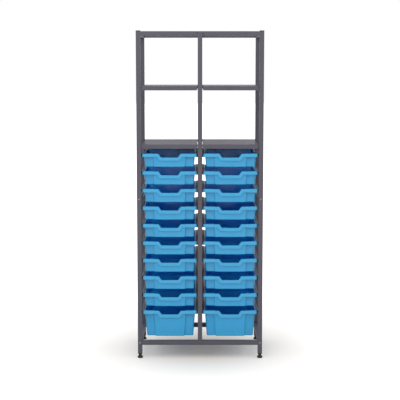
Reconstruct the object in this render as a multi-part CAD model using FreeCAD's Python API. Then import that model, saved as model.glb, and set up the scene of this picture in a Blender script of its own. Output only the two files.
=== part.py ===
"""Classroom tray storage unit: a steel tube frame with two columns of sliding trays under open shelves.

Millimetres. X runs to the right, Y to the back and Z up. The origin is at floor level, in the middle of
the plan. One STEP file per sub-part goes into parts/, and a file's name is the sub-part's name.
"""
import FreeCAD, Part
import math
import os
from FreeCAD import Vector

# ---- the frame ---------------------------------------------------------------------------------
FRAME_WIDTH = 705.0
FRAME_DEPTH = 430.0
FRAME_TOP = 1838.0          # top of the tubes, under the caps
TUBE = 25.0                 # square steel tube
TUBE_WALL = 1.5
TUBE_EDGE = 1.5             # flat on each outer corner of a tube
LEG_BOTTOM = 29.0           # underside of the corner tubes
BOTTOM_RAIL_Z = 76.0        # underside of the bottom rails
MIDDLE_RAIL_Z = 897.5       # underside of the middle side rails
BAYS = 2

# ---- connectors, caps and bolts of the frame ---------------------------------------------------
TUBE_FIT = 0.3              # room round whatever sits inside a tube, each side
CONNECTOR_LENGTH = 60.0     # block inside a long rail
SPIGOT_LENGTH = 45.0        # spigot that enters a centre upright
CAP_FLANGE = 4.0
CAP_PLUG = 16.0
BOLT_RADIUS = 3.0
BOLT_NECK = 6.8             # square neck under the head, which keeps the bolt from turning
BOLT_NECK_LENGTH = 3.0
BOLT_HEAD_RADIUS = 5.0
BOLT_HEAD_HEIGHT = 1.8
BOLT_GRIP = 18.0            # length of bolt inside a rail's end nut
BOLT_CLEARANCE = 0.2        # beside the neck, in the square holes punched for it
NUT_LENGTH = 20.0

# ---- levelling feet ----------------------------------------------------------------------------
INSERT_FLANGE = 4.0
INSERT_PLUG = 30.0
STUD_RADIUS = 5.0
STUD_LENGTH = 30.0          # above the pad
STUD_CLEARANCE = 0.3
PAD_SIDES = 12              # flats that the fingers turn it by
PAD_RADIUS = 15.5
PAD_EDGE = 9.0              # height of the pad's rim
PAD_BEVEL = 1.2             # under the rim
PAD_NECK_RADIUS = 8.75
PAD_NECK_HEIGHT = 12.0

# ---- shelves -----------------------------------------------------------------------------------
SHELF_CLEARANCE = 28.0      # between the top trays' rims and the lower shelf's lip
SHELF_PITCH = 322.5
SHELF_SHEET = 1.2
SHELF_LIP = 24.0
SHELF_SIDE_GAP = 2.5
SHELF_END_GAP = 2.0         # behind the front of the frame, and before its back
SHELF_EDGE = 1.5            # flat along the folded edges
SHELF_LIP_CORNER = 6.0
LUG_WIDTH = 12.0
LUG_HEIGHT = 12.0
LUG_REACH = 14.0            # out of the upright
LUG_SHEET = 3.0
LUG_FIT = 0.4               # beside a lug, in the slot of a shelf's lip

# ---- trays -------------------------------------------------------------------------------------
LEVELS = 10
LEVEL_PITCH = 99.0
TRAY_LIFT = 22.5            # of the lowest trays above the bottom rails
TRAY_SIDE_GAP = 4.5         # between a rim and the upright beside it
TRAY_REAR_GAP = 3.0         # between a rim and the back of the frame
SHALLOW_HEIGHT = 75.0
DEEP_HEIGHT = 150.0
TRAY_WALL = 2.0
RIM_CORNER = 8.2            # flat on each corner of the rim, in plan
RIM_SKIRT = 18.0            # height of the turned-down rim
RIM_REACH = 10.5            # rim beyond the body, at the sides and the back
FRONT_REACH = 17.0          # rim beyond the body beside the front panel
PANEL_REACH = 5.0           # rim beyond the front panel
BODY_CORNER = 4.5           # flat on each upright corner of the body
DRAFT_SIDE = math.tan(math.radians(4.2))
DRAFT_END = math.tan(math.radians(5.0))
PANEL_WIDTH = 181.0
PANEL_DRAFT = math.tan(math.radians(3.4))
NOTCH_DEPTH = 21.5
NOTCH_TOP = 123.0           # width at the rim
NOTCH_BOTTOM = 94.0
NOTCH_CORNER = 4.0          # flat in its two lower corners
BASE_BEVEL = 3.5            # softened edge all round the bottom

# ---- tray runners ------------------------------------------------------------------------------
RUNNER_SHEET = 1.2
RUNNER_FIT = 1.5            # between a runner's lips and the body of a tray
RUNNER_HEADROOM = 1.6       # over a tray's rim
RUNNER_FRONT_GAP = 12.0     # behind the front of the frame

# ---- worked out --------------------------------------------------------------------------------
BAY_WIDTH = (FRAME_WIDTH - (BAYS + 1) * TUBE) / BAYS
FRONT = -FRAME_DEPTH / 2
BACK = FRAME_DEPTH / 2
TUBE_MID_Y = BACK - TUBE / 2
SIDE_RAIL_LENGTH = FRAME_DEPTH - 2 * TUBE
TUBE_BORE = TUBE - 2 * TUBE_WALL
INSIDE_TUBE = TUBE_BORE - 2 * TUBE_FIT
RAIL_TOP_Z = FRAME_TOP - TUBE
UPRIGHT_X = [-FRAME_WIDTH / 2 + TUBE / 2 + i * (BAY_WIDTH + TUBE) for i in range(BAYS + 1)]
BAY_X = [(left + right) / 2 for left, right in zip(UPRIGHT_X, UPRIGHT_X[1:])]
SIDES = {"left": UPRIGHT_X[0], "right": UPRIGHT_X[-1]}
ENDS = {"front": -TUBE_MID_Y, "rear": TUBE_MID_Y}
COLUMNS = dict(zip(("left", "right"), BAY_X))
TRAY_WIDTH = BAY_WIDTH - 2 * TRAY_SIDE_GAP
TRAY_DEPTH = FRAME_DEPTH - TRAY_REAR_GAP
LOWEST_RIM_Z = BOTTOM_RAIL_Z + TUBE + TRAY_LIFT + DEEP_HEIGHT
RIM_Z = [LOWEST_RIM_Z + level * LEVEL_PITCH for level in reversed(range(LEVELS))]   # from the top down
RUNNER_REACH = TRAY_SIDE_GAP + RIM_REACH - RUNNER_FIT   # out of the upright, web included
LOWER_SHELF_Z = RIM_Z[0] + SHELF_CLEARANCE + SHELF_LIP
SHELF_TOPS = {"upper": LOWER_SHELF_Z + SHELF_PITCH, "lower": LOWER_SHELF_Z}
SHELF_WIDTH = BAY_WIDTH - 2 * SHELF_SIDE_GAP
SHELF_DEPTH = FRAME_DEPTH - 2 * SHELF_END_GAP
PAD_HEIGHT = LEG_BOTTOM - INSERT_FLANGE
PAST = 1.0                  # how far a cutting tool runs past what it cuts
NEAR = 0.01                 # what counts as the same height
FLAT_LOSS = 2 - math.sqrt(2)    # a 45-degree flat gets this much shorter per mm of inset

X_AXIS = Vector(1, 0, 0)
Y_AXIS = Vector(0, 1, 0)
Z_AXIS = Vector(0, 0, 1)


def save(name, *solids):
    """Write a sub-part of one or more separate solids."""
    shape = solids[0] if len(solids) == 1 else Part.makeCompound(list(solids))
    shape.exportStep(f"parts/{name}.step")


def box(size, centre=(0, 0), base=0.0):
    """A block of size (x, y, z), centred on centre in plan and standing on base."""
    x, y, z = size
    return Part.makeBox(x, y, z, Vector(centre[0] - x / 2, centre[1] - y / 2, base))


def along(shape, axis):
    """Turn a shape that was built upright from the origin so that it runs along axis."""
    turned = shape.copy()
    turned.Placement = FreeCAD.Placement(Vector(), FreeCAD.Rotation(Z_AXIS, axis))
    return turned


def moved(shape, x=0.0, y=0.0, z=0.0):
    copy = shape.copy()
    copy.translate(Vector(x, y, z))
    return copy


def edges_along(shape, axis):
    """The straight edges that run along axis."""
    found = []
    for edge in shape.Edges:
        span = edge.Vertexes[-1].Point - edge.Vertexes[0].Point
        if span.Length > 0 and span.cross(axis).Length < 1e-6 * span.Length:
            found.append(edge)
    return found


def bar(length):
    """An upright square bar with a tube's outline, standing on the origin."""
    block = box((TUBE, TUBE, length))
    return block.makeChamfer(TUBE_EDGE, edges_along(block, Z_AXIS))


def tube(length, axis=Z_AXIS):
    """A square tube that starts at the origin and runs along axis."""
    bore = box((TUBE_BORE, TUBE_BORE, length + 2 * PAST), base=-PAST)
    return along(bar(length).cut(bore), axis)


def rod(radius, length, start, axis):
    return Part.makeCylinder(radius, length, Vector(*start), axis)


def prism(points, start_y, end_y):
    """A closed outline of (x, z) points, pushed from start_y to end_y."""
    corners = [Vector(x, start_y, z) for x, z in points]
    face = Part.Face(Part.makePolygon(corners + corners[:1]))
    return face.extrude(Vector(0, end_y - start_y, 0))


def between(low, high):
    """A solid with flat faces between two horizontal rectangles (x0, x1, y0, y1, z)."""
    x0, x1, y0, y1, bottom = low
    upper_x0, upper_x1, upper_y0, upper_y1, top = high
    wedge = Part.makeWedge(x0, bottom, -y1, -upper_y1, upper_x0, x1, top, -y0, -upper_y0, upper_x1)
    wedge.rotate(Vector(), X_AXIS, 90)
    return wedge


# ---- the frame ---------------------------------------------------------------------------------
def bolt_heights():
    """Heights of the bolts that hold the bottom and middle side rails."""
    return [BOTTOM_RAIL_Z + TUBE / 2, MIDDLE_RAIL_Z + TUBE / 2]


def corner_upright(x, y):
    """A leg: a tube from the foot to the cap. The front ones are punched for the rail bolts."""
    post = moved(tube(FRAME_TOP - LEG_BOTTOM), x, y, LEG_BOTTOM)
    if y > 0:
        return post
    hole = BOLT_NECK + 2 * BOLT_CLEARANCE
    return post.cut([box((hole, TUBE + 2 * PAST, hole), (x, y), z - hole / 2) for z in bolt_heights()])


def centre_upright(x, y):
    """A tube that stands on the bottom rail and ends under the top rail."""
    foot = BOTTOM_RAIL_Z + TUBE
    return moved(tube(RAIL_TOP_Z - foot), x, y, foot)


def inner_uprights():
    return UPRIGHT_X[1:-1]


def long_rail(y, z):
    """A rail across the front or the back, opened where the connectors of the centre frame pass."""
    length = FRAME_WIDTH - 2 * TUBE
    rail = moved(tube(length, X_AXIS), -length / 2, y, z + TUBE / 2)
    window = INSIDE_TUBE + 2 * TUBE_FIT
    wall = z + TUBE - TUBE_WALL if z < FRAME_TOP / 2 else z
    return rail.cut([box((window, window, TUBE_WALL + PAST), (x, y), wall - PAST / 2)
                     for x in inner_uprights()])


def connector(x, y, z):
    """A block inside a long rail with a spigot up or down into a centre upright."""
    block = box((CONNECTOR_LENGTH, INSIDE_TUBE, INSIDE_TUBE), (x, y), z + TUBE_WALL + TUBE_FIT)
    if z < FRAME_TOP / 2:
        low = z + TUBE_WALL + TUBE_FIT
        high = z + TUBE + SPIGOT_LENGTH
    else:
        low = z - SPIGOT_LENGTH
        high = z + TUBE - TUBE_WALL - TUBE_FIT
    spigot = box((INSIDE_TUBE, INSIDE_TUBE, high - low), (x, y), low)
    return block.fuse(spigot).removeSplitter()


def side_rail(x, z):
    """A short rail between a front and a rear upright."""
    return moved(tube(SIDE_RAIL_LENGTH, Y_AXIS), x, -SIDE_RAIL_LENGTH / 2, z + TUBE / 2)


def rail_nut(x, z):
    """A tapped plug in the front end of a side rail, which the bolt through the upright pulls tight."""
    rail_end = FRONT + TUBE
    plug = box((INSIDE_TUBE, NUT_LENGTH, INSIDE_TUBE), (x, rail_end + NUT_LENGTH / 2), z - INSIDE_TUBE / 2)
    return plug.cut(rod(BOLT_RADIUS, NUT_LENGTH + 2 * PAST, (x, rail_end - PAST, z), Y_AXIS))


def rail_bolt(x, z):
    """A square-necked bolt from the front face of an upright into a side rail's nut."""
    head = rod(BOLT_HEAD_RADIUS, BOLT_HEAD_HEIGHT, (x, FRONT, z), -Y_AXIS)
    neck = box((BOLT_NECK, BOLT_NECK_LENGTH, BOLT_NECK), (x, FRONT + BOLT_NECK_LENGTH / 2), z - BOLT_NECK / 2)
    shank = rod(BOLT_RADIUS, TUBE + BOLT_GRIP, (x, FRONT, z), Y_AXIS)
    return head.fuse([neck, shank]).removeSplitter()


def top_cap(x, y):
    flange = moved(bar(CAP_FLANGE), x, y, FRAME_TOP)
    plug = box((INSIDE_TUBE, INSIDE_TUBE, CAP_PLUG), (x, y), FRAME_TOP - CAP_PLUG)
    return flange.fuse(plug).removeSplitter()


def build_frame():
    for side, x in SIDES.items():
        for end, y in ENDS.items():
            save(f"upright_{end}_{side}", corner_upright(x, y))
    for end, y in ENDS.items():
        save(f"centre_upright_{end}", *[centre_upright(x, y) for x in inner_uprights()])
        save(f"top_rail_{end}", long_rail(y, RAIL_TOP_Z))
        save(f"bottom_rail_{end}", long_rail(y, BOTTOM_RAIL_Z))
    heights = (BOTTOM_RAIL_Z, MIDDLE_RAIL_Z, RAIL_TOP_Z)
    for side, x in SIDES.items():
        save(f"side_rails_{side}", *[side_rail(x, z) for z in heights])
    save("centre_side_rails", *[side_rail(x, z) for x in inner_uprights() for z in heights])
    save("centre_connectors", *[connector(x, y, z) for x in inner_uprights() for y in ENDS.values()
                                for z in (BOTTOM_RAIL_Z, RAIL_TOP_Z)])
    save("side_rail_nuts", *[rail_nut(x, z) for x in SIDES.values() for z in bolt_heights()])
    save("side_rail_bolts", *[rail_bolt(x, z) for x in SIDES.values() for z in bolt_heights()])
    save("top_caps", *[top_cap(x, y) for x in SIDES.values() for y in ENDS.values()])


# ---- levelling feet ----------------------------------------------------------------------------
def leg_insert(x, y):
    """A plug in the bottom of a leg, tapped for the foot's stud."""
    flange = moved(bar(INSERT_FLANGE), x, y, PAD_HEIGHT)
    plug = box((INSIDE_TUBE, INSIDE_TUBE, INSERT_PLUG), (x, y), LEG_BOTTOM)
    radius = STUD_RADIUS + STUD_CLEARANCE
    bore = rod(radius, INSERT_FLANGE + INSERT_PLUG + 2 * PAST, (x, y, PAD_HEIGHT - PAST), Z_AXIS)
    return flange.fuse(plug).removeSplitter().cut(bore)


def polygon(radius, z):
    """Corners of a level outline with PAD_SIDES equal sides round the upright axis."""
    turns = [2 * math.pi * (i + 0.5) / PAD_SIDES for i in range(PAD_SIDES)]
    return [Vector(radius * math.cos(turn), radius * math.sin(turn), z) for turn in turns]


def faceted(outlines):
    """A solid with flat faces through level outlines that have equally many corners."""
    loops = [outlines[0], outlines[-1]]
    for low, high in zip(outlines, outlines[1:]):
        loops += [[low[i - 1], low[i], high[i], high[i - 1]] for i in range(len(low))]
    shell = Part.makeShell([Part.Face(Part.makePolygon(loop + loop[:1])) for loop in loops])
    shell.sewShape()
    return Part.Solid(shell)


def levelling_pad(x, y):
    """A moulded foot: a bevelled rim, a cone up to the neck, and flats all round to turn it by."""
    rings = [(PAD_RADIUS - PAD_BEVEL, 0), (PAD_RADIUS, PAD_BEVEL), (PAD_RADIUS, PAD_EDGE),
             (PAD_NECK_RADIUS, PAD_HEIGHT - PAD_NECK_HEIGHT), (PAD_NECK_RADIUS, PAD_HEIGHT)]
    return moved(faceted([polygon(radius, z) for radius, z in rings]), x, y)


def levelling_stud(x, y):
    """A threaded rod that stands on the pad's neck and runs up into the leg's insert."""
    return rod(STUD_RADIUS, STUD_LENGTH, (x, y, PAD_HEIGHT), Z_AXIS)


def build_feet():
    corners = {f"{end}_{side}": (x, y) for side, x in SIDES.items() for end, y in ENDS.items()}
    save("leg_inserts", *[leg_insert(x, y) for x, y in corners.values()])
    for name, (x, y) in corners.items():
        save(f"levelling_pad_{name}", levelling_pad(x, y))
        save(f"levelling_stud_{name}", levelling_stud(x, y))


# ---- shelves -----------------------------------------------------------------------------------
def shelf(x, deck_top):
    """A pressed tray of sheet steel: a deck with lips turned down on all four sides.

    The side lips are slotted from below, and drop over the lugs until the deck lies on them.
    """
    low = deck_top - SHELF_LIP
    pan = box((SHELF_WIDTH, SHELF_DEPTH, SHELF_LIP), (x, 0), low)
    top_edges = [e for e in pan.Edges if e.BoundBox.ZMin > low + 1]
    pan = pan.makeChamfer(SHELF_EDGE, top_edges)
    inside = (SHELF_WIDTH - 2 * SHELF_SHEET, SHELF_DEPTH - 2 * SHELF_SHEET, SHELF_LIP - SHELF_SHEET + PAST)
    inner = box(inside, (x, 0), low - PAST)
    top_edges = [e for e in inner.Edges if e.BoundBox.ZMin > low]
    inner = inner.makeChamfer(SHELF_EDGE, top_edges)
    slot = (SHELF_WIDTH + 2 * PAST, LUG_WIDTH + 2 * LUG_FIT, SHELF_LIP - SHELF_SHEET)
    cuts = [inner] + [box(slot, (x, y), low) for y in ENDS.values()]
    for side in (-1, 1):
        edge = x + side * SHELF_WIDTH / 2
        corner = [(edge + side * PAST, low - PAST), (edge - side * SHELF_LIP_CORNER, low - PAST),
                  (edge - side * SHELF_LIP_CORNER, low), (edge, low + SHELF_LIP_CORNER),
                  (edge + side * PAST, low + SHELF_LIP_CORNER)]
        for end in (-1, 1):
            face = end * SHELF_DEPTH / 2
            cuts.append(prism(corner, face - end * SHELF_SHEET, face + end * PAST))
    return pan.cut(cuts)


def shelf_lug(x, y, deck_top, inward):
    """A welded angle: one leg on the side of the upright, the other under a shelf's deck."""
    face = x + inward * TUBE / 2
    top = deck_top - SHELF_SHEET
    leg = face + inward * LUG_SHEET
    tip = face + inward * LUG_REACH
    outline = [(face, top), (tip, top), (tip, top - LUG_SHEET), (leg, top - LUG_SHEET),
               (leg, top - LUG_HEIGHT), (face, top - LUG_HEIGHT)]
    return prism(outline, y - LUG_WIDTH / 2, y + LUG_WIDTH / 2)


def build_shelves():
    lugs = []
    for level, deck_top in SHELF_TOPS.items():
        for column, x in COLUMNS.items():
            save(f"shelf_{level}_{column}", shelf(x, deck_top))
            for inward in (-1, 1):
                post = x - inward * (BAY_WIDTH + TUBE) / 2
                lugs += [shelf_lug(post, y, deck_top, inward) for y in ENDS.values()]
    save("shelf_lugs", *lugs)


# ---- tray runners ------------------------------------------------------------------------------
def runner(x, rim_z, inward):
    """A channel that opens towards the bay. The tray's turned-down rim stands on its lower lip."""
    web = x + inward * TUBE / 2
    inside = web + inward * RUNNER_SHEET
    lip = web + inward * RUNNER_REACH
    seat = rim_z - RIM_SKIRT
    roof = rim_z + RUNNER_HEADROOM
    outline = [(web, seat - RUNNER_SHEET), (lip, seat - RUNNER_SHEET), (lip, seat), (inside, seat),
               (inside, roof), (lip, roof), (lip, roof + RUNNER_SHEET), (web, roof + RUNNER_SHEET)]
    stop_y = FRONT + TRAY_DEPTH
    channel = prism(outline, FRONT + RUNNER_FRONT_GAP, stop_y + RUNNER_SHEET)
    stop = prism([(inside, seat), (lip, seat), (lip, roof), (inside, roof)], stop_y, stop_y + RUNNER_SHEET)
    return channel.fuse(stop).removeSplitter()


def build_runners():
    for column, x in COLUMNS.items():
        for place, inward in (("left", 1), ("right", -1)):
            post = x - inward * (BAY_WIDTH + TUBE) / 2
            save(f"runners_{column}_column_{place}", *[runner(post, z, inward) for z in RIM_Z])


# ---- trays -------------------------------------------------------------------------------------
def tray_shell(height, inset):
    """The tapered form of a tray, or of its inside when inset is the wall.

    The upright corners of the body are cut off, and its base is bevelled. The front panel stands proud
    of the body, and narrows downwards.
    """
    half_x = TRAY_WIDTH / 2 - RIM_REACH - inset
    front = -TRAY_DEPTH / 2 + FRONT_REACH + inset
    back = TRAY_DEPTH / 2 - RIM_REACH - inset
    side = height * DRAFT_SIDE
    end = height * DRAFT_END
    body = between((-half_x + side, half_x - side, front + end, back - end, -height),
                   (-half_x, half_x, front, back, 0))
    steep = [e for e in body.Edges if abs(e.Vertexes[0].Z - e.Vertexes[-1].Z) > height / 2]
    body = body.makeChamfer(BODY_CORNER - inset * FLAT_LOSS, steep)
    panel_x = PANEL_WIDTH / 2 - inset
    panel_y = -TRAY_DEPTH / 2 + PANEL_REACH + inset
    taper = height * PANEL_DRAFT
    depth = front + BODY_CORNER
    panel = between((-panel_x + taper, panel_x - taper, panel_y + end, depth + end, -height),
                    (-panel_x, panel_x, panel_y, depth, 0))
    shell = body.fuse(panel).removeSplitter()
    base = [e for e in shell.Edges if e.BoundBox.ZMax < -height + NEAR]
    return shell.makeChamfer(BASE_BEVEL - inset * FLAT_LOSS, base)


def dip(drop, start_y, end_y, top=0.0):
    """A block with the outline of the dip in a tray's front, grown downwards and sideways by drop."""
    slope = (NOTCH_TOP - NOTCH_BOTTOM) / 2 / NOTCH_DEPTH
    low = -NOTCH_DEPTH - drop
    narrow = NOTCH_BOTTOM / 2 + drop * (math.hypot(1, slope) - slope)
    wide = narrow + slope * (top - low)
    block = prism([(-wide, top), (-narrow, low), (narrow, low), (wide, top)], start_y, end_y)
    corners = [e for e in edges_along(block, Y_AXIS) if e.CenterOfMass.z < low + 1]
    return block.makeChamfer(NOTCH_CORNER, corners)


def rim_slab(inset, thickness, base):
    """A flat block with the rim's outline in plan, inset all round, standing on base."""
    slab = box((TRAY_WIDTH - 2 * inset, TRAY_DEPTH - 2 * inset, thickness), base=base)
    return slab.makeChamfer(RIM_CORNER - inset * FLAT_LOSS, edges_along(slab, Z_AXIS))


def tray(height):
    """A moulded tray: a tapered box, a turned-down rim all round, and a dip in the front."""
    flange = rim_slab(0, TRAY_WALL, -TRAY_WALL)
    inside = rim_slab(TRAY_WALL, RIM_SKIRT + 2 * PAST, -RIM_SKIRT - PAST)
    skirt = rim_slab(0, RIM_SKIRT, -RIM_SKIRT).cut(inside)

    front = -TRAY_DEPTH / 2
    body_front = front + FRONT_REACH + BODY_CORNER
    apron = dip(RIM_SKIRT, front, front + TRAY_WALL)
    ledge = dip(TRAY_WALL, front, body_front)
    opening = dip(0, front - PAST, body_front + PAST, PAST)

    hollow = tray_shell(height - TRAY_WALL, TRAY_WALL)
    solid = tray_shell(height, 0).fuse([flange, skirt, apron, ledge]).cut([hollow, opening])
    return solid.removeSplitter()


def build_trays():
    shapes = {True: tray(DEEP_HEIGHT), False: tray(SHALLOW_HEIGHT)}
    y = FRONT + TRAY_DEPTH / 2
    for column, x in COLUMNS.items():
        for level, rim_z in enumerate(RIM_Z):
            deep = level == LEVELS - 1
            save(f"tray_{column}_{level + 1:02d}", moved(shapes[deep], x, y, rim_z))


os.makedirs("parts", exist_ok=True)
build_frame()
build_feet()
build_shelves()
build_runners()
build_trays()
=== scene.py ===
"""Looks of the tray storage unit: its trays, tubes, shelves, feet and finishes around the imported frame.

Every object is in metres. Sizes are in millimetres where the heading above them says so.
"""
import math

import bmesh
import bpy
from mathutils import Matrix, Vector


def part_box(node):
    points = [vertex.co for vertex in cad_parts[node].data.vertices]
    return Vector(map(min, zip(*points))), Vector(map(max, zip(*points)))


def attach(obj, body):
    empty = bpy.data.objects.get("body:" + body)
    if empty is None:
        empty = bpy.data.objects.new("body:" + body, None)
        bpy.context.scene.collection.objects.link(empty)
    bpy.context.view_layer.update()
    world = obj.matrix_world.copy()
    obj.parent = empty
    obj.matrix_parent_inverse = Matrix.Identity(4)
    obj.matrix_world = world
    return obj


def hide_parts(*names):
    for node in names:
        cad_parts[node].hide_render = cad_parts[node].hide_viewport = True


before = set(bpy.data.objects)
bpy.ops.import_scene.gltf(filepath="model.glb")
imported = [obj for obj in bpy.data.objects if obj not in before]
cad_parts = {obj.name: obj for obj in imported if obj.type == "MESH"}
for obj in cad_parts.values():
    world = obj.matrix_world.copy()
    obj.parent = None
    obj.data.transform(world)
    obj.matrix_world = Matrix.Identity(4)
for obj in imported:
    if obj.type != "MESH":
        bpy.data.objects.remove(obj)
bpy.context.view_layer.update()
MM = 0.001

# ---- camera, metres, with its lens and sensor in millimetres -----------------------------------
CAMERA_PLACE = (0.0, -5.965, 1.650)
CAMERA_PITCH = math.radians(6.93)       # down
CAMERA_LENS = 93.5
CAMERA_SENSOR = 36.0
CAMERA_SHIFT = -0.02
CAMERA_REACH = 200.0                    # how far it sees

# ---- light and floor, metres -------------------------------------------------------------------
WHITE = (1, 1, 1, 1)
WORLD_LIGHT = 0.64
KEY_PLACE = (-0.7, -3.4, 3.3)
KEY_TARGET = (0, 0, 1.3)
KEY_POWER = 46.0
KEY_SIZE = (2.6, 1.8)
SUN_PLACE = (0, 0, 4)
SUN_TARGET = (0.1, 0.25, 0)
SUN_POWER = 0.75
SUN_SPREAD = math.radians(70)
FLOOR_HALF = 40.0
FLOOR_DROP = 0.0005                     # keeps the floor's plane apart from the pads' undersides
FLOOR_WHITE = (0.63, 0.61, 0.585)       # a warm white, a painted tint that evens out the blue light the trays bounce onto it
FLOOR_ROUGHNESS = 0.9
FLOOR_GLOW = (0.15, 1.0)                # glow under the unit and far from it, where 1 is white; the lower glow near the unit is painted shade
FLOOR_GLOW_REACH = (0.10, 1.45)         # distances from the middle between which it rises
FLOOR_PAINTED_TINT = (0.97, 0.83, 0.71)        # warm tint painted into the glow under the trays, against the blue light they bounce onto the floor
FLOOR_PAINTED_TINT_REACH = (0.10, 0.38)        # distances between which the tint fades

# ---- trays, millimetres, from the rim's top and the middle of the rim ---------------------------
ARC = 4                                 # steps of a small rounding
BIG_ARC = 8
TRAY_RIM = (153.0, 213.5)               # half sizes of the rim in plan
RIM_CORNER = 14.0
RIM_SKIRT = 18.0                        # how far the rim turns down
RIM_EDGE = 2.0                          # rounding of the rim's outer edge
RIM_LIP = 1.2                           # rounding of the opening's edge
LIP_STEPS = 3
SKIRT_EDGE = 0.7                        # bevels of the skirt's lower edge and of the corner inside it
BODY_X = 142.5                          # half width of the body under the rim
BODY_FRONT = -196.5
BODY_BACK = 203.0
BODY_CORNER = 8.0
BODY_CORNER_LEAST = 1.0                 # what the wall's inside keeps of it
PANEL_X = 90.5                          # half width of the proud front panel
PANEL_Y = -208.5
PANEL_CORNER = 2.5
PANEL_CORNER_LEAST = 0.5
PANEL_ROOT = 3.5                        # rounding where the panel leaves the body
PANEL_FLAT = 0.4                        # least flat between that rounding and the panel's corner
PANEL_LEAD = 4.0                        # how far before PANEL_X the rim's points over its corner start
TRAY_WALL = 2.0
SIDE_DRAFT = math.tan(math.radians(4.2))
END_DRAFT = math.tan(math.radians(5.0))
PANEL_DRAFT = math.tan(math.radians(3.4))
NOTCH = ((61.5, 0.0), (47.0, -21.5))    # half widths and heights of the dip
NOTCH_TURNS = (4.0, 7.0)                # rounding of its upper and lower corners at the rim's line
NOTCH_GAINS = (-0.15, 0.4)              # what these gain for each millimetre below that line
NOTCH_TURN_LEAST = 1.5
NOTCH_STEPS = (5, 6)
BASE_ROUND = 5.0
BASE_STEPS = 5
SHALLOW = 75.0
DEEP = 150.0
PANEL_POINTS = 2 * (ARC + 1)            # points of the panel's corner and root on each side
WALL_ROWS = BASE_STEPS + 2              # rows of a column up to the underside of the rim
SKIRT_ROWS = 6
RIM_ROWS = WALL_ROWS + SKIRT_ROWS + ARC + 2     # rows up to the inside of the opening

# ---- tubes and caps, millimetres ---------------------------------------------------------------
TUBE = 25.0
TUBE_WALL = 1.5
TUBE_ROUND = 1.8
TUBE_INNER_ROUND = TUBE_ROUND / 3
TUBE_EDGE = 0.3                         # bevel of a cut end
RAIL_LEVELS = (76.0, 897.5, 1813.0)     # undersides of the rails
RAIL_SEAT = 1.2                         # how far a tube's end goes into the wall of the tube it meets
LEG_X = 340.0
LEG_Y = 202.5
LEGS = [(sx * LEG_X, sy * LEG_Y) for sx in (-1, 1) for sy in (-1, 1)]
FRAME_TOP = 1838.0
LEG_BOTTOM = 29.0
PLUG = 21.4                             # width of what a cap or an insert has inside the tube
PLUG_ROUND = 1.2
CAP_HEIGHT = 4.0
CAP_ROUND = 1.2                         # rounding of the top edge
CAP_CORNER_LOSS = 0.4                   # share of that rounding that the corners lose in plan
CAP_STEPS = 4
CAP_EDGE = 0.3                          # bevel of the lower edge
CAP_PLUG = 16.0

# ---- feet and inserts, millimetres -------------------------------------------------------------
PAD_HEIGHT = 25.0
PAD_SIDES = 40
PAD_PROFILE = ((13.4, 0.0), (14.3, 0.35), (14.8, 1.0), (14.95, 2.2), (14.95, 7.6), (14.7, 8.8),
               (14.0, 9.9), (12.9, 10.8), (11.4, 11.6), (10.1, 12.5), (9.2, 13.7), (8.85, 15.2),
               (8.75, 17.0), (8.75, 24.2), (8.3, 24.8), (7.6, PAD_HEIGHT))     # radius and height
INSERT_PLUG = 30.0
INSERT_EDGE = 0.4                       # bevel of the lower edge
INSERT_CORNER = 1.5                     # rounding of the corners inside that bevel
BORE = 5.3                              # radius through the inserts, for the studs
STUD = 5.0                              # radius over the thread
STUD_TOP = 55.0
STUD_SIDES = 24
STUD_TAPER = 0.6                        # what the ends lose in radius
THREAD_PITCH = 1.5
THREAD_DEPTH = 0.85
THREAD_START = 0.25                     # share of that depth at the ends
THREAD_ROWS = 4                         # rows of points in a turn

# ---- bolts, screws and welds, millimetres ------------------------------------------------------
BOLT_LEVELS = (88.5, 910.0)
BOLT_SIDES = 28
BOLT_DOME = (4.7, 2.3)                  # radius and height
BOLT_STEPS = 7
BOLT_NECK = (3.4, 3.0)                  # half width and length of the square neck
BOLT_NECK_ROUND = 0.4
BOLT_SHANK = (3.0, 42.4)                # radius, and its end from the upright's face
BOLT_TIP = (2.5, 43.0)
SCREWS = ((-16.0, 1823.5), (16.0, 1829.5))      # x and z on the top rails, into the connectors behind
SCREW_SIDES = 24
SCREW_HEAD = ((3.4, 0.0), (3.3, 0.5), (2.8, 1.0), (2.0, 1.35), (1.6, 1.4),
              (1.5, 0.3))               # radius and height, over the dome and down into the socket
SCREW_SHANK = (2.0, 14.0)               # radius and length
WELD = 2.2                              # width of a bead on each of its two faces
WELD_STEPS = 14
WELD_EXTRA = 1.0                        # how much longer a bead is than the tube's flat
WELD_SUNK = 0.4                         # how far it goes under the faces
WELD_RIPPLE = (0.06, 2.6)               # share of its size, and turn from step to step in radians
WELD_ENDS = (0.3, 5.0)                  # share of its size at an end, and gain over its whole length
WELD_FACE = (0.66, 0.30)                # shares of its size that give the hollow face

# ---- shelves and runners, millimetres ----------------------------------------------------------
SHEET = 1.2
SHELF_LIP = 24.0
SHELF_FOLD = 2.0                        # outer radius of the folds
FOLD_STEPS = 4
FOLD_INNER_STEPS = 3
DECK_INSET = SHELF_FOLD + 1.0           # where the deck starts, from the shelf's edge
SHELF_CORNER = 3.5                      # rounding of the corners in plan
SHELF_CORNER_STEPS = 4
LIP_EDGE = 0.35                         # bevel of the lips' lower edges
LIP_CORNER = 6.5                        # rounding of the lips' lower corners
LIP_POINTS = (4.0, 5.0, LIP_CORNER)     # distances from a corner that this rounding is drawn at
LIP_SIDE_POINT = 3.8                    # the same on a side, where the slot is
LUG_SLOT = 12.8                         # width of the slots over the lugs
MERGE = 0.01                            # points that are closer become one
RUNNER_FRONT = -203.0
RUNNER_BACK = 213.2
RUNNER_REACH = 13.5
RUNNER_SEAT = -RIM_SKIRT                # from the rim's top
RUNNER_ROOF = 1.6
RUNNER_FOLD = (1.6, 3)                  # radius and steps of a rounding, as in the next four lines
RUNNER_INNER_FOLD = (0.5, 2)
RUNNER_EDGE = (0.4, 2)
STOP_ROOT = (0.2, 2)
STOP_CORNER = (0.6, 2)
STOP_GAP = 0.1                          # from the stop's back to the runner's end


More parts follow.
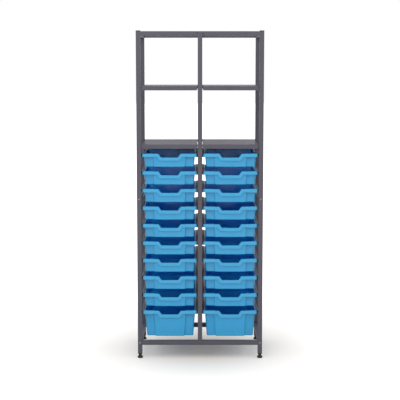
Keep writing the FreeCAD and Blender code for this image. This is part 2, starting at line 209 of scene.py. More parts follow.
# ---- small mesh tools --------------------------------------------------------------------------
def new_piece(name, bm, materials, sharp=38):
    """A smooth piece, with sharp edges where its faces meet at more than an angle in degrees."""
    mesh = bpy.data.meshes.new(name)
    bmesh.ops.recalc_face_normals(bm, faces=bm.faces)
    bm.to_mesh(mesh)
    bm.free()
    for material in materials:
        mesh.materials.append(material)
    mesh.shade_smooth()
    mesh.set_sharp_from_angle(angle=math.radians(sharp))
    return place_mesh(name, mesh)


def place_mesh(name, mesh):
    """A piece of a mesh, with normals that keep its flat faces flat."""
    piece = bpy.data.objects.new(name, mesh)
    bpy.context.scene.collection.objects.link(piece)
    even = piece.modifiers.new("even_normals", "WEIGHTED_NORMAL")
    even.keep_sharp = True
    return piece


def finish_piece(piece, body, slot, *nodes):
    """Puts a piece on its body, in place of nodes if it has any; its slot argument is not used."""
    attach(piece, body)
    if nodes:
        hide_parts(*nodes)


def turn(corner, before, after, radius, steps):
    """Points of a rounded corner of a flat outline."""
    c = Vector(corner)
    a = (Vector(before) - c).normalized()
    b = (Vector(after) - c).normalized()
    half = a.angle(b) / 2
    centre = c + (a + b).normalized() * (radius / math.sin(half))
    start = c + a * (radius / math.tan(half)) - centre
    sweep = math.pi - 2 * half
    sign = 1 if a.x * b.y - a.y * b.x < 0 else -1
    points = []
    for i in range(steps + 1):
        angle = sign * sweep * i / steps
        cosine, sine = math.cos(angle), math.sin(angle)
        points.append(centre + Vector((start.x * cosine - start.y * sine, start.x * sine + start.y * cosine)))
    return points


def outline(corners):
    """A closed outline of (point, radius, steps) corners, as a list of points."""
    points = []
    for i, (corner, radius, steps) in enumerate(corners):
        points += turn(corner, corners[i - 1][0], corners[(i + 1) % len(corners)][0], radius, steps)
    return points


def square(half, radius):
    """A square with rounded corners, as a list of points."""
    return outline([((half, -half), radius, ARC), ((half, half), radius, ARC),
                    ((-half, half), radius, ARC), ((-half, -half), radius, ARC)])


def circle(radius, sides):
    """A circle as a list of points."""
    return [Vector((radius * math.cos(2 * math.pi * i / sides), radius * math.sin(2 * math.pi * i / sides)))
            for i in range(sides)]


def quarter_turn(steps):
    """The angles of a quarter turn, with both of its ends."""
    return [math.pi / 2 * step / steps for step in range(steps + 1)]


def ring(bm, points):
    """Vertices at points in millimetres."""
    return [bm.verts.new(Vector(p) * MM) for p in points]


def level_rings(bm, layers, place):
    """Rings of vertices: layers is a list of (points, height), and place puts a point in space."""
    return [ring(bm, [place(p, height) for p in points]) for points, height in layers]


def bridge(bm, rings, closed=False):
    """Quads between neighbouring rings of vertices, each ring closed on itself."""
    pairs = list(zip(rings, rings[1:]))
    if closed:
        pairs.append((rings[-1], rings[0]))
    for low, high in pairs:
        for i in range(len(low)):
            bm.faces.new((low[i - 1], low[i], high[i], high[i - 1]))


def shell(bm, rings):
    """A closed form through rings, with a face over its first and its last."""
    bridge(bm, rings)
    bm.faces.new(rings[0])
    bm.faces.new(rings[-1])


def stack(bm, layers, place):
    """A closed form through level outlines."""
    shell(bm, level_rings(bm, layers, place))


def over(x, y):
    """Puts level outlines round an upright line at x, y."""
    return lambda p, height: (x + p.x, y + p.y, height)


def square_tube(bm, axis, centre, start, end):
    """A hollow square tube with rounded corners, along x, y or z, from start to end."""
    u, v = centre

    def place(p, along):
        if axis == "x":
            return (along, u + p.x, v + p.y)
        if axis == "y":
            return (u + p.x, along, v + p.y)
        return (u + p.x, v + p.y, along)

    outer = square(TUBE / 2, TUBE_ROUND)
    inner = square(TUBE / 2 - TUBE_WALL, TUBE_INNER_ROUND)
    edge = square(TUBE / 2 - TUBE_EDGE, TUBE_ROUND - TUBE_EDGE)
    layers = [(edge, start), (outer, start + TUBE_EDGE), (outer, end - TUBE_EDGE), (edge, end),
              (inner, end), (inner, start)]
    bridge(bm, level_rings(bm, layers, place), closed=True)


# ---- materials ---------------------------------------------------------------------------------
def linear(colour):
    """An sRGB colour of 0 to 255 as the linear colour that a shader takes."""
    values = [c / 255 for c in colour]
    return [v / 12.92 if v <= 0.04045 else ((v + 0.055) / 1.055) ** 2.4 for v in values] + [1.0]


def shade(colour, factor):
    """A linear colour made darker or lighter."""
    return [min(1.0, c * factor) for c in colour[:3]] + [1.0]


class Nodes:
    """A material's node tree, with short ways to add and join nodes."""

    def __init__(self, name):
        self.material = bpy.data.materials.new(name)
        self.material.use_nodes = True
        self.tree = self.material.node_tree
        self.shader = self.tree.nodes["Principled BSDF"]
        self.place = self.add("ShaderNodeTexCoord").outputs["Object"]

    def add(self, kind, **inputs):
        """A node with constant inputs, where _ stands for a space in a name."""
        node = self.tree.nodes.new(kind)
        for key, value in inputs.items():
            node.inputs[key.replace("_", " ")].default_value = value
        return node

    def join(self, source, target):
        self.tree.links.new(source, target)

    def constant(self, **inputs):
        """Constant inputs of the shader itself, where _ stands for a space in a name."""
        for key, value in inputs.items():
            self.shader.inputs[key.replace("_", " ")].default_value = value

    def noise(self, scale, detail=2.0, roughness=0.5, stretch=None):
        """A noise over the object, squeezed along its axes by stretch."""
        node = self.add("ShaderNodeTexNoise", Scale=scale, Detail=detail, Roughness=roughness)
        place = self.place
        if stretch:
            mapping = self.add("ShaderNodeMapping")
            mapping.inputs["Scale"].default_value = stretch
            self.join(place, mapping.inputs["Vector"])
            place = mapping.outputs["Vector"]
        self.join(place, node.inputs["Vector"])
        return node.outputs["Fac"]

    def spread(self, value, low, high, start=0.3, stop=0.7):
        """A value that goes from low to high while another goes from start to stop."""
        node = self.add("ShaderNodeMapRange")
        for key, number in (("From Min", start), ("From Max", stop), ("To Min", low), ("To Max", high)):
            node.inputs[key].default_value = number
        self.join(value, node.inputs["Value"])
        return node.outputs["Result"]

    def blend(self, factor, first, second):
        """A colour between two, by a factor."""
        node = self.tree.nodes.new("ShaderNodeMix")
        node.data_type = "RGBA"
        self.join(factor, node.inputs["Factor"])
        node.inputs["A"].default_value = first
        node.inputs["B"].default_value = second
        return node.outputs["Result"]

    def relief(self, height, strength, distance, under=None):
        """A bump from a height, over another bump if one is given."""
        node = self.add("ShaderNodeBump", Strength=strength, Distance=distance)
        self.join(height, node.inputs["Height"])
        if under:
            self.join(under, node.inputs["Normal"])
        return node.outputs["Normal"]

    def mottle(self, pattern, colour, low, high):
        """A base colour that goes from low to high times itself along a pattern."""
        tone = linear(colour)
        self.join(self.blend(self.spread(pattern, 0, 1), shade(tone, low), shade(tone, high)),
                  self.shader.inputs["Base Color"])

    def dull(self, pattern, low, high):
        """A roughness that goes from low to high along a pattern."""
        self.join(self.spread(pattern, low, high), self.shader.inputs["Roughness"])

    def emboss(self, bump):
        self.join(bump, self.shader.inputs["Normal"])


def powder_coat(name, colour, roughness, ior=1.5, gloss=0.0):
    """Baked powder paint on steel: fine orange peel, uneven tone and roughness, and any clear gloss."""
    n = Nodes(name)
    n.mottle(n.noise(9.0, 3.0), colour, 0.95, 1.05)
    n.dull(n.noise(60.0, 3.0), roughness - 0.05, roughness + 0.05)
    peel = n.relief(n.noise(420.0, 2.0), strength=0.22, distance=0.0006)
    n.emboss(n.relief(n.noise(1500.0, 2.0), strength=0.16, distance=0.0003, under=peel))
    n.constant(IOR=ior)
    if gloss:
        n.constant(Coat_Weight=gloss, Coat_Roughness=0.06)
    return n.material


def moulded(name, colour, roughness, grain, milky=0.0):
    """Injection-moulded plastic: slight flow tone, a fine mould grain, uneven gloss, and some depth."""
    n = Nodes(name)
    n.mottle(n.noise(7.0, 3.0, 0.55, stretch=(1.0, 1.0, 2.5)), colour, 0.96, 1.04)
    n.dull(n.noise(35.0, 4.0), roughness - 0.05, roughness + 0.06)
    soft = n.relief(n.noise(22.0, 1.0), strength=0.10, distance=0.002)
    n.emboss(n.relief(n.noise(1100.0, 2.0), strength=grain, distance=0.0003, under=soft))
    n.constant(IOR=1.5)
    if milky:
        n.constant(Subsurface_Weight=milky, Subsurface_Radius=(0.25, 0.6, 1.0), Subsurface_Scale=0.004)
    return n.material


def plated(name, colour):
    """Plated steel with fine turning marks."""
    n = Nodes(name)
    n.mottle(n.noise(80.0, 3.0), colour, 0.85, 1.1)
    n.dull(n.noise(200.0, 3.0, 0.6, stretch=(1, 1, 12)), 0.28, 0.45)
    n.emboss(n.relief(n.noise(900.0, 2.0, 0.5, stretch=(1, 1, 6)), strength=0.15, distance=0.0002))
    n.constant(Metallic=1.0)
    return n.material


STEEL = powder_coat("frame_powder_coat", (80, 78, 89), roughness=0.5)
SHELF_STEEL = powder_coat("shelf_powder_coat", (101, 98, 110), roughness=0.6, ior=1.1, gloss=0.15)
TRAY_WALLS = moulded("tray_walls_plastic", (44, 171, 227), roughness=0.2, grain=0.06, milky=0.25)
# painted light: the rim's colour is lighter than the walls', as if lit from above
TRAY_RIMS_PAINTED_LIGHT = moulded("tray_rims_painted_light_plastic", (64, 178, 229), roughness=0.36, grain=0.05, milky=0.25)
# painted light: the inside's colour is lighter and bluer, standing in for light in the shaded hollow
TRAY_INSIDE_PAINTED_LIGHT = moulded("tray_inside_painted_light_plastic", (52, 190, 250), roughness=0.15, grain=0.04, milky=0.25)
BLACK = moulded("black_plastic", (16, 16, 17), roughness=0.55, grain=0.25)
ZINC = plated("zinc_plate", (150, 150, 156))
BOLT_PLATE = plated("bolt_plate", (138, 136, 145))
DARK_PLATE = plated("dark_plate", (52, 51, 56))


# ---- trays -------------------------------------------------------------------------------------
def body_outline(drop, inset):
    """The tray's body in plan, drop below the rim's top, or a line inside it when inset isn't 0.

    It runs round from the right end of the front panel, anticlockwise from above.
    """
    side = BODY_X - inset - drop * SIDE_DRAFT
    front = BODY_FRONT + inset + drop * END_DRAFT
    back = BODY_BACK - inset - drop * END_DRAFT
    panel = PANEL_X - inset - drop * PANEL_DRAFT
    proud = PANEL_Y + inset + drop * END_DRAFT
    corner = max(PANEL_CORNER - inset, PANEL_CORNER_LEAST)
    root = min(PANEL_ROOT + inset, front - proud - corner - PANEL_FLAT)
    big = max(BODY_CORNER - inset, BODY_CORNER_LEAST)
    return outline([((panel, proud), corner, ARC), ((panel, front), root, ARC),
                    ((side, front), big, BIG_ARC), ((side, back), big, BIG_ARC),
                    ((-side, back), big, BIG_ARC), ((-side, front), big, BIG_ARC),
                    ((-panel, front), root, ARC), ((-panel, proud), corner, ARC)])


def dip_line(drop):
    """The dip in the front from left to right, drop below the rim's line, as (x, z) points."""
    (wide, top), (narrow, low) = NOTCH
    slope = (wide - narrow) / (top - low)
    lower_x = narrow + drop * (math.hypot(1, slope) - slope)
    upper = (-(lower_x + wide - narrow), top - drop)
    lower = (-lower_x, low - drop)
    upper_turn = max(NOTCH_TURNS[0] + drop * NOTCH_GAINS[0], NOTCH_TURN_LEAST)
    lower_turn = NOTCH_TURNS[1] + drop * NOTCH_GAINS[1]
    far = 50        # any length does, because it only gives the way to the left
    left = (turn(upper, (upper[0] - far, upper[1]), lower, upper_turn, NOTCH_STEPS[0])
            + turn(lower, upper, (0, lower[1]), lower_turn, NOTCH_STEPS[1]))
    return left + [Vector((-p.x, p.y)) for p in reversed(left)]


def rim_outline():
    """The rim in plan, with a point for each point of body_outline."""
    half_x, half_y = TRAY_RIM
    front = [Vector((PANEL_X - PANEL_LEAD + i, -half_y)) for i in range(PANEL_POINTS)]
    corners = outline([((half_x, -half_y), RIM_CORNER, BIG_ARC), ((half_x, half_y), RIM_CORNER, BIG_ARC),
                       ((-half_x, half_y), RIM_CORNER, BIG_ARC), ((-half_x, -half_y), RIM_CORNER, BIG_ARC)])
    return front + corners + [Vector((-p.x, p.y)) for p in reversed(front)]


def into(points, i, straight):
    """Level direction into the tray at point i of an outline, straight back at the first and last points."""
    if i < straight or i >= len(points) - straight:
        return Vector((0, 1, 0))
    ahead = points[(i + 1) % len(points)] - points[i - 1]
    return Vector((-ahead.y, ahead.x, 0)).normalized()


def tray_columns(height):
    """Every line of points from the outer floor up, over the rim and down to the inner floor."""
    rim = rim_outline()
    body = body_outline(0, 0)
    dips = list(zip(dip_line(0), dip_line(TRAY_WALL), dip_line(RIM_SKIRT)))
    outlines = {}

    def wall(i, drop, inset, x):
        """A point of the body's wall: of outline point i, or at x on the front panel if x is given."""
        if x is not None:
            return Vector((x, PANEL_Y + inset + drop * END_DRAFT, -drop))
        if (drop, inset) not in outlines:
            outlines[drop, inset] = body_outline(drop, inset)
        return Vector((*outlines[drop, inset][i], -drop))

    def base(i, inset, bottom, radius, x):
        """From the wall round the edge of the base to the floor."""
        return [wall(i, bottom - radius * (1 - math.sin(angle)), inset + radius * (1 - math.cos(angle)), x)
                for angle in quarter_turn(BASE_STEPS)]

    columns = []
    for i in range(len(rim) + len(dips)):
        if i < len(rim):
            x = None
            start = Vector((*rim[i], 0))
            inward = into(rim, i, PANEL_POINTS)
            down, skirt = Vector((0, 0, -1)), RIM_SKIRT
            under = wall(i, TRAY_WALL, 0, x)
            inside = wall(i, 0, TRAY_WALL, x)
            way = into(body, i, 0)
        else:
            top, low_face, low = dips[i - len(rim)]
            x = top.x
            start = Vector((top.x, -TRAY_RIM[1], top.y))
            inward = way = Vector((0, 1, 0))
            down = Vector((low.x, -TRAY_RIM[1], low.y)) - start
            skirt = down.length
            down.normalize()
            under = wall(i, -low_face.y, 0, low_face.x)
            inside = wall(i, -top.y, TRAY_WALL, top.x)
        column = base(i, 0, height, BASE_ROUND, x)[::-1] + [under]
        for across, along in ((TRAY_WALL + SKIRT_EDGE, TRAY_WALL), (TRAY_WALL, TRAY_WALL + SKIRT_EDGE),
                              (TRAY_WALL, skirt - SKIRT_EDGE), (TRAY_WALL - SKIRT_EDGE, skirt),
                              (SKIRT_EDGE, skirt), (0, skirt - SKIRT_EDGE)):
            column.append(start + inward * across + down * along)
        for angle in quarter_turn(ARC):
            column.append(start + inward * RIM_EDGE * (1 - math.cos(angle))
                          + down * RIM_EDGE * (1 - math.sin(angle)))
        for angle in quarter_turn(LIP_STEPS):
            column.append(inside - way * RIM_LIP * (1 - math.sin(angle))
                          - Vector((0, 0, RIM_LIP * (1 - math.cos(angle)))))
        column += base(i, TRAY_WALL, height - TRAY_WALL, BASE_ROUND - TRAY_WALL, x)
        columns.append(column)
    return columns


def new_tray(name, height):
    """A whole tray, with a finish for each of its walls, its rim and its inside; the last two are painted
    lighter.
    """
    bm = bmesh.new()
    rings = [ring(bm, points) for points in zip(*tray_columns(height))]
    shell(bm, rings)
    for index, rows in ((1, rings[WALL_ROWS:RIM_ROWS]), (2, rings[RIM_ROWS - 1:])):
        points = {point for row in rows for point in row}
        for face in bm.faces:
            if all(v in points for v in face.verts):
                face.material_index = index
    return new_piece(name, bm, [TRAY_WALLS, TRAY_RIMS_PAINTED_LIGHT, TRAY_INSIDE_PAINTED_LIGHT])


def build_trays():
    """A tray for each tray node; trays of one height share a mesh."""
    models = {}
    for node in sorted(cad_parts):
        if not node.startswith("tray_"):
            continue
        low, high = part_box(node)
        height = DEEP if (high.z - low.z) / MM > (SHALLOW + DEEP) / 2 else SHALLOW
        name = node.replace("tray_", "moulded_tray_")
        if height not in models:
            piece = new_tray(name, height)
            models[height] = piece.data
        else:
            piece = place_mesh(name, models[height])
        piece.location = ((low.x + high.x) / 2, (low.y + high.y) / 2, high.z)
        finish_piece(piece, node, "tray_plastic", node)


# ---- tubes -------------------------------------------------------------------------------------
def tube_piece(name, axis, runs, node):
    """One piece of one or more tubes: each run is (centre, start, end)."""
    bm = bmesh.new()
    for centre, start, end in runs:
        square_tube(bm, axis, centre, start, end)
    finish_piece(new_piece(name, bm, [STEEL], sharp=50), "frame", "frame_steel", node)


def build_tubes():
    half = TUBE / 2
    side_end = LEG_Y - half + RAIL_SEAT
    long_end = LEG_X - half + RAIL_SEAT
    for side, sx in (("left", -1), ("right", 1)):
        for end, sy in (("front", -1), ("rear", 1)):
            node = f"upright_{end}_{side}"
            tube_piece(node + "_tube", "z", [((sx * LEG_X, sy * LEG_Y), LEG_BOTTOM, FRAME_TOP)], node)
        node = f"side_rails_{side}"
        runs = [((sx * LEG_X, level + half), -side_end, side_end) for level in RAIL_LEVELS]
        tube_piece(node + "_tubes", "y", runs, node)
    runs = [((0, level + half), -side_end, side_end) for level in RAIL_LEVELS]
    tube_piece("centre_side_rails_tubes", "y", runs, "centre_side_rails")
    for end, sy in (("front", -1), ("rear", 1)):
        y = sy * LEG_Y
        for height, level in (("top", RAIL_LEVELS[2]), ("bottom", RAIL_LEVELS[0])):
            node = f"{height}_rail_{end}"
            tube_piece(node + "_tube", "x", [((y, level + half), -long_end, long_end)], node)
        node = f"centre_upright_{end}"
        run = ((0, y), RAIL_LEVELS[0] + TUBE - RAIL_SEAT, RAIL_LEVELS[2] + RAIL_SEAT)
        tube_piece(node + "_tube", "z", [run], node)


# ---- caps, inserts and feet --------------------------------------------------------------------
def build_caps():
    """Moulded caps with a softened top edge, one piece for the four."""
    bm = bmesh.new()
    half = TUBE / 2
    top = FRAME_TOP + CAP_HEIGHT
    plug = square(PLUG / 2, PLUG_ROUND)
    layers = [(plug, FRAME_TOP - CAP_PLUG), (plug, FRAME_TOP),
              (square(half - CAP_EDGE, TUBE_ROUND - CAP_EDGE), FRAME_TOP),
              (square(half, TUBE_ROUND), FRAME_TOP + CAP_EDGE)]
    for angle in quarter_turn(CAP_STEPS):
        inset = CAP_ROUND * (1 - math.cos(angle))
        layers.append((square(half - inset, TUBE_ROUND - inset * CAP_CORNER_LOSS),
                       top - CAP_ROUND * (1 - math.sin(angle))))
    for x, y in LEGS:
        stack(bm, layers, over(x, y))
    finish_piece(new_piece("leg_caps", bm, [BLACK]), "frame", "black_plastic", "top_caps")


def build_inserts():
    """Plugs in the legs' lower ends, bored for the feet's studs."""
    bm = bmesh.new()
    half = TUBE / 2
    plug = square(PLUG / 2, PLUG_ROUND)
    bore = [p.normalized() * BORE for p in plug]
    flange = square(half, TUBE_ROUND)
    layers = [(bore, PAD_HEIGHT), (square(half - INSERT_EDGE, INSERT_CORNER), PAD_HEIGHT),
              (flange, PAD_HEIGHT + INSERT_EDGE), (flange, LEG_BOTTOM), (plug, LEG_BOTTOM),
              (plug, LEG_BOTTOM + INSERT_PLUG), (bore, LEG_BOTTOM + INSERT_PLUG)]
    for x, y in LEGS:
        bridge(bm, level_rings(bm, layers, over(x, y)), closed=True)
    finish_piece(new_piece("leg_plugs", bm, [BLACK]), "frame", "black_plastic", "leg_inserts")


def threaded_rod(bm, x, y, bottom, top):
    """A rod with a helical thread: rows of points, and a groove that climbs one pitch in each turn."""
    rows = int((top - bottom) / THREAD_PITCH * THREAD_ROWS)
    rings = []
    for row in range(rows + 1):
        z = bottom + (top - bottom) * row / rows
        ends = min(1.0, (z - bottom) / THREAD_PITCH, (top - z) / THREAD_PITCH)
        points = []
        for i in range(STUD_SIDES):
            share = i / STUD_SIDES
            phase = (row / THREAD_ROWS - share) % 1.0
            depth = THREAD_DEPTH * abs(2 * phase - 1) * (THREAD_START + (1 - THREAD_START) * ends)
            radius = STUD - depth - STUD_TAPER * (1 - ends)
            angle = 2 * math.pi * share
            points.append((x + radius * math.cos(angle), y + radius * math.sin(angle), z))
        rings.append(ring(bm, points))
    shell(bm, rings)


def build_feet():
    """A turned pad and a threaded stud for each foot."""
    for side, sx in (("left", -1), ("right", 1)):
        for end, sy in (("front", -1), ("rear", 1)):
            name = f"{end}_{side}"
            x, y = sx * LEG_X, sy * LEG_Y
            bm = bmesh.new()
            stack(bm, [(circle(radius, PAD_SIDES), height) for radius, height in PAD_PROFILE], over(x, y))
            finish_piece(new_piece(f"foot_{name}_pad", bm, [BLACK]), f"foot_{name}", "black_plastic",
                         f"levelling_pad_{name}")
            bm = bmesh.new()
            threaded_rod(bm, x, y, PAD_HEIGHT, STUD_TOP)
            finish_piece(new_piece(f"foot_{name}_stud", bm, [ZINC], sharp=25), f"foot_{name}",
                         "plated_steel", f"levelling_stud_{name}")


# ---- bolts, screws and welds -------------------------------------------------------------------
def build_bolts():
    """Domed bolts through the front uprights, each with its square neck and shank."""
    bm = bmesh.new()
    front = -LEG_Y - TUBE / 2
    radius, rise = BOLT_DOME
    head = [(circle(radius * math.cos(angle), BOLT_SIDES), -rise * math.sin(angle))
            for angle in quarter_turn(BOLT_STEPS)[:-1]]
    neck = square(BOLT_NECK[0], BOLT_NECK_ROUND)
    shank = circle(BOLT_SHANK[0], BOLT_SIDES)
    tip = circle(BOLT_TIP[0], BOLT_SIDES)
    for sx in (-1, 1):
        for level in BOLT_LEVELS:
            def place(p, depth, x=sx * LEG_X, z=level):
                return (x + p.x, front + depth, z + p.y)
            stack(bm, head, place)
            stack(bm, [(neck, 0.0), (neck, BOLT_NECK[1])], place)
            stack(bm, [(shank, BOLT_NECK[1]), (shank, BOLT_SHANK[1]), (tip, BOLT_TIP[1])], place)
    finish_piece(new_piece("rail_bolts", bm, [BOLT_PLATE]), "frame", "plated_steel", "side_rail_bolts")


def build_screws():
    """Button-head screws through the top rails into the connectors, each with a socket in its head."""
    bm = bmesh.new()
    head = [(circle(radius, SCREW_SIDES), height) for radius, height in SCREW_HEAD]
    shank = circle(SCREW_SHANK[0], SCREW_SIDES)
    for sy in (-1, 1):
        for across, z in SCREWS:
            def place(p, height, x=across * sy, z=z, side=sy):
                return (x + p.x, side * (LEG_Y + TUBE / 2 + height), z + p.y)
            stack(bm, head, place)
            stack(bm, [(shank, 0.0), (shank, -SCREW_SHANK[1])], place)
    finish_piece(new_piece("connector_screws", bm, [DARK_PLATE], sharp=30), "frame", "plated_steel")


def weld(bm, corner, along, first, second):
    """A fillet of weld in the corner between two faces; first and second lead away from it, one on each."""
    length = TUBE - 2 * TUBE_ROUND + WELD_EXTRA
    ripple, swing = WELD_RIPPLE
    end_size, gain = WELD_ENDS
    deep, shallow = WELD_FACE
    rings = []
    for i in range(WELD_STEPS + 1):
        share = i / WELD_STEPS
        size = WELD * (1 + ripple * math.sin(i * swing)) * min(1.0, end_size + gain * min(share, 1 - share))
        centre = Vector(corner) + along * length * (share - 0.5)
        points = [(-WELD_SUNK, -WELD_SUNK), (size, -WELD_SUNK), (size * deep, size * shallow),
                  (size * shallow, size * deep), (-WELD_SUNK, size)]
        rings.append(ring(bm, [centre + first * a + second * b for a, b in points]))
    shell(bm, rings)


def build_welds():
    """Welds where rails meet uprights and each other, apart from the ends that bolts pull tight."""
    bm = bmesh.new()
    x_way, y_way, z_way = Vector((1, 0, 0)), Vector((0, 1, 0)), Vector((0, 0, 1))
    half = TUBE / 2
    bottom, middle, top = RAIL_LEVELS
    for sy in (-1, 1):
        face_y = sy * (LEG_Y - half)
        for sx in (-1, 1):
            face_x = sx * (LEG_X - half)
            for z, up in ((bottom, -1), (bottom + TUBE, 1), (top, -1)):
                weld(bm, (face_x, sy * LEG_Y, z), y_way, -sx * x_way, up * z_way)
                if z == top or sy > 0:
                    weld(bm, (sx * LEG_X, face_y, z), x_way, -sy * y_way, up * z_way)
            if sy > 0:
                for z, up in ((middle, -1), (middle + TUBE, 1)):
                    weld(bm, (sx * LEG_X, face_y, z), x_way, -sy * y_way, up * z_way)
            for z in (bottom + half, top + half):
                weld(bm, (sx * half, face_y, z), z_way, sx * x_way, -sy * y_way)
        for z, up in ((middle, -1), (middle + TUBE, 1)):
            weld(bm, (0, face_y, z), x_way, -sy * y_way, up * z_way)
    finish_piece(new_piece("weld_beads", bm, [STEEL], sharp=60), "frame", "frame_steel")


# ---- shelves and runners -----------------------------------------------------------------------
def lip_profile(lip, slotted):
    """The fold and lip of a shelf as (inset, height) points, from the deck's top round to its underside."""
    outer = SHELF_FOLD
    inner = SHELF_FOLD - SHEET
    points = [(DECK_INSET, 0.0)]
    points += [(outer * (1 - math.sin(angle)), outer * (math.cos(angle) - 1))
               for angle in quarter_turn(FOLD_STEPS)]
    points += [(0.0, LIP_EDGE - lip), (LIP_EDGE, -lip), (SHEET - LIP_EDGE, -lip), (SHEET, LIP_EDGE - lip)]
    points += [(SHEET + inner * (1 - math.cos(angle)), -outer + inner * math.sin(angle))
               for angle in quarter_turn(FOLD_INNER_STEPS)]
    points.append((DECK_INSET, -SHEET))
    if slotted:
        points = [(inset, max(height, -SHEET)) for inset, height in points]
    return points


def shelf_columns(half_x, half_y):
    """Places round a shelf, anticlockwise: (outer point, inward direction, height of the lip, slotted)."""
    def lip_at(distance):
        """Height of the lip at a distance from a corner."""
        if distance >= LIP_CORNER:
            return SHELF_LIP
        return SHELF_LIP - LIP_CORNER + math.sqrt(LIP_CORNER ** 2 - (LIP_CORNER - distance) ** 2)

    slot_middle = half_y - LEG_Y
    slot = (slot_middle - LUG_SLOT / 2, slot_middle + LUG_SLOT / 2)
    beside = [(LIP_SIDE_POINT, False), (slot[0], False), (slot[0], True), (slot[1], True), (slot[1], False)]
    columns = []
    for sx, sy in ((1, -1), (1, 1), (-1, 1), (-1, -1)):
        along_x = [(Vector((sx * (half_x - d), sy * half_y)), Vector((0, -sy)), lip_at(d), False)
                   for d in LIP_POINTS]
        along_y = [(Vector((sx * half_x, sy * (half_y - d))), Vector((-sx, 0)), lip_at(d), slotted)
                   for d, slotted in beside]
        centre = Vector((sx * (half_x - SHELF_CORNER), sy * (half_y - SHELF_CORNER)))
        arc = []
        for angle in quarter_turn(SHELF_CORNER_STEPS):
            way = Vector((sx * math.sin(angle), sy * math.cos(angle)))
            distance = SHELF_CORNER * (1 - max(math.sin(angle), math.cos(angle)))
            arc.append((centre + way * SHELF_CORNER, -way, lip_at(distance), False))
        quarter = along_x[::-1] + arc + along_y
        columns += quarter if sx * sy < 0 else quarter[::-1]
    return columns


def build_shelves():
    """Pressed shelves with folded lips all round, slotted over the lugs."""
    for node in sorted(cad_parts):
        if not node.startswith("shelf_") or node == "shelf_lugs":
            continue
        low, high = (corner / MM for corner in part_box(node))
        middle = (low + high) / 2
        columns = []
        for point, inward, lip, slotted in shelf_columns((high.x - low.x) / 2, (high.y - low.y) / 2):
            columns.append([(middle.x + point.x + inward.x * inset, middle.y + point.y + inward.y * inset,
                             high.z + height) for inset, height in lip_profile(lip, slotted)])
        bm = bmesh.new()
        shell(bm, [ring(bm, points) for points in zip(*columns)])
        bmesh.ops.remove_doubles(bm, verts=bm.verts, dist=MERGE * MM)
        finish_piece(new_piece(f"pressed_{node}", bm, [SHELF_STEEL]), "frame", "shelf_steel", node)


def build_runners():
    """Folded channels with a stop at the back, ten to a piece."""
    low, high = RUNNER_SEAT, RUNNER_ROOF
    channel = outline([((0, low - SHEET), *RUNNER_FOLD), ((RUNNER_REACH, low - SHEET), *RUNNER_EDGE),
                       ((RUNNER_REACH, low), *RUNNER_EDGE), ((SHEET, low), *RUNNER_INNER_FOLD),
                       ((SHEET, high), *RUNNER_INNER_FOLD), ((RUNNER_REACH, high), *RUNNER_EDGE),
                       ((RUNNER_REACH, high + SHEET), *RUNNER_EDGE), ((0, high + SHEET), *RUNNER_FOLD)])
    stop = outline([((SHEET, low), *STOP_ROOT), ((RUNNER_REACH, low), *STOP_CORNER),
                    ((RUNNER_REACH, high), *STOP_CORNER), ((SHEET, high), *STOP_ROOT)])
    for column, sx in (("left", -1), ("right", 1)):
        trays = [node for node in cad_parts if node.startswith(f"tray_{column}")]
        rims = sorted(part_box(node)[1].z / MM for node in trays)
        for side, inward in (("left", 1), ("right", -1)):
            web = (sx - inward) * LEG_X / 2 + inward * TUBE / 2
            bm = bmesh.new()
            for rim in rims:
                def place(p, y, x=web, way=inward, z=rim):
                    return (x + way * p.x, y, z + p.y)
                stack(bm, [(channel, RUNNER_FRONT), (channel, RUNNER_BACK)], place)
                stack(bm, [(stop, RUNNER_BACK - SHEET), (stop, RUNNER_BACK - STOP_GAP)], place)
            finish_piece(new_piece(f"folded_runners_{column}_{side}", bm, [STEEL], sharp=50), "frame",
                         "frame_steel", f"runners_{column}_column_{side}")


def dress_cad():
    """Materials of the nodes that stay as the frame has them."""
    for node, material in (("shelf_lugs", STEEL), ("centre_connectors", BLACK), ("side_rail_nuts", ZINC)):
        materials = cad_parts[node].data.materials
        materials.clear()
        materials.append(material)


# ---- studio ------------------------------------------------------------------------------------
def background_rays(tree):
    """1 for rays that show the background, from the camera, in a reflection or through glass; else 0."""
    path = tree.nodes.new("ShaderNodeLightPath")
    seen = path.outputs["Is Camera Ray"]
    for kind in ("Is Glossy Ray", "Is Transmission Ray"):
        either = tree.nodes.new("ShaderNodeMath")
        either.operation = "MAXIMUM"
        tree.links.new(seen, either.inputs[0])
        tree.links.new(path.outputs[kind], either.inputs[1])
        seen = either.outputs[0]
    return seen


def build_floor():
    """A pale floor that glows for the rays that show it, less so near the unit, keeping its shadow and
    painting shade.
    """
    mesh = bpy.data.meshes.new("floor")
    corners = [(-FLOOR_HALF, -FLOOR_HALF, 0), (FLOOR_HALF, -FLOOR_HALF, 0),
               (FLOOR_HALF, FLOOR_HALF, 0), (-FLOOR_HALF, FLOOR_HALF, 0)]
    mesh.from_pydata(corners, [], [(0, 1, 2, 3)])
    floor = bpy.data.objects.new("floor", mesh)
    bpy.context.scene.collection.objects.link(floor)
    floor.location.z = -FLOOR_DROP
    n = Nodes("floor_white")
    n.constant(Base_Color=(*FLOOR_WHITE, 1), Roughness=FLOOR_ROUGHNESS, Specular_IOR_Level=0.0)
    away = n.add("ShaderNodeVectorMath")
    away.operation = "LENGTH"
    n.join(n.place, away.inputs[0])
    distance = away.outputs["Value"]
    strength = n.add("ShaderNodeMath")
    strength.operation = "MULTIPLY"
    n.join(background_rays(n.tree), strength.inputs[0])
    # glow that rises outwards from the unit: painted shade round it, over the real shadow
    n.join(n.spread(distance, *FLOOR_GLOW, *FLOOR_GLOW_REACH), strength.inputs[1])
    n.join(strength.outputs[0], n.shader.inputs["Emission Strength"])
    # warm painted tint under the trays, against their blue bounce light
    n.join(n.blend(n.spread(distance, 0, 1, *FLOOR_PAINTED_TINT_REACH), (*FLOOR_PAINTED_TINT, 1), WHITE),
           n.shader.inputs["Emission Color"])
    mesh.materials.append(n.material)


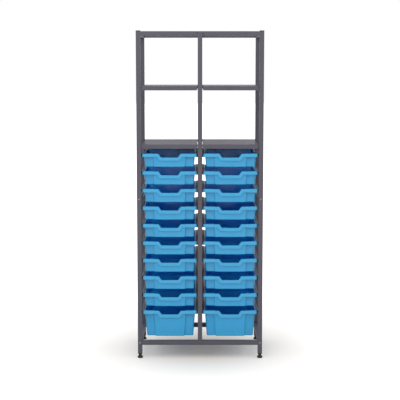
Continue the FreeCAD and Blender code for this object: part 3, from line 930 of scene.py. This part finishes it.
def lamp(name, kind, place, target, power):
    """A lamp that shines from one place towards another."""
    data = bpy.data.lights.new(name, kind)
    data.energy = power
    obj = bpy.data.objects.new(name, data)
    bpy.context.scene.collection.objects.link(obj)
    obj.location = place
    obj.rotation_mode = "QUATERNION"
    obj.rotation_quaternion = (Vector(target) - Vector(place)).to_track_quat("-Z", "Y")
    return data


def build_light():
    """A plain white world, seen as pure white, with a wide lamp in front and a soft sun overhead."""
    world = bpy.data.worlds.new("studio")
    bpy.context.scene.world = world
    world.use_nodes = True
    tree = world.node_tree
    light = tree.nodes["Background"]
    light.inputs["Strength"].default_value = WORLD_LIGHT
    light.inputs["Color"].default_value = WHITE
    seen = tree.nodes.new("ShaderNodeBackground")
    seen.inputs["Color"].default_value = WHITE
    seen.inputs["Strength"].default_value = 1.0
    mix = tree.nodes.new("ShaderNodeMixShader")
    tree.links.new(background_rays(tree), mix.inputs["Fac"])
    tree.links.new(light.outputs[0], mix.inputs[1])
    tree.links.new(seen.outputs[0], mix.inputs[2])
    tree.links.new(mix.outputs[0], tree.nodes["World Output"].inputs["Surface"])
    key = lamp("key", "AREA", KEY_PLACE, KEY_TARGET, KEY_POWER)
    key.shape = "RECTANGLE"
    key.size, key.size_y = KEY_SIZE
    sun = lamp("overhead", "SUN", SUN_PLACE, SUN_TARGET, SUN_POWER)
    sun.angle = SUN_SPREAD


def build_camera():
    data = bpy.data.cameras.new("camera")
    data.lens = CAMERA_LENS
    data.sensor_width = CAMERA_SENSOR
    data.shift_y = CAMERA_SHIFT
    data.clip_end = CAMERA_REACH
    camera = bpy.data.objects.new("camera", data)
    bpy.context.scene.collection.objects.link(camera)
    camera.location = CAMERA_PLACE
    camera.rotation_euler = (math.pi / 2 - CAMERA_PITCH, 0, 0)
    bpy.context.scene.camera = camera


build_camera()
build_light()
build_floor()
build_trays()
build_tubes()
build_caps()
build_inserts()
build_feet()
build_bolts()
build_screws()
build_welds()
build_shelves()
build_runners()
dress_cad()
bpy.context.scene.view_settings.view_transform = "Standard"
